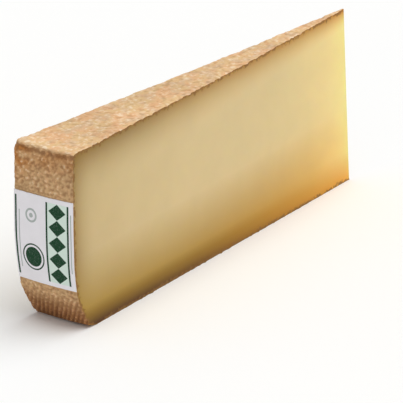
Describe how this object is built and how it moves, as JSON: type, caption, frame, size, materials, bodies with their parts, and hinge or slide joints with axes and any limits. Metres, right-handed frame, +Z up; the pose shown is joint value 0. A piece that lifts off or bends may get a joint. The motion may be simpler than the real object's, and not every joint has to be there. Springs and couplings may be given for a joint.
{
  "type": "comte cheese wedge",
  "caption": "Long thin wedge cut from a tall wheel of hard comte cheese, with rind on its top, heel and foot and a paper label round the heel; it stands on the foot.",
  "frame": {"origin": "centre of the bounding box at its bottom, on the surface that the wedge stands on", "axes": "+X from the heel to the tip, +Y across the wedge, +Z up"},
  "size_m": [0.3024, 0.047, 0.1177],
  "materials": {
    "cheese": "pale yellow hard cheese, smooth where it is cut, with a dry grainy light brown rind on the top, heel and foot",
    "label": "uncoated off-white label paper with plain dark green rules, blocks and a disc"
  },
  "bodies": {
    "root": {"cheese": "cheese", "label": "label"}
  },
  "joints": []
}
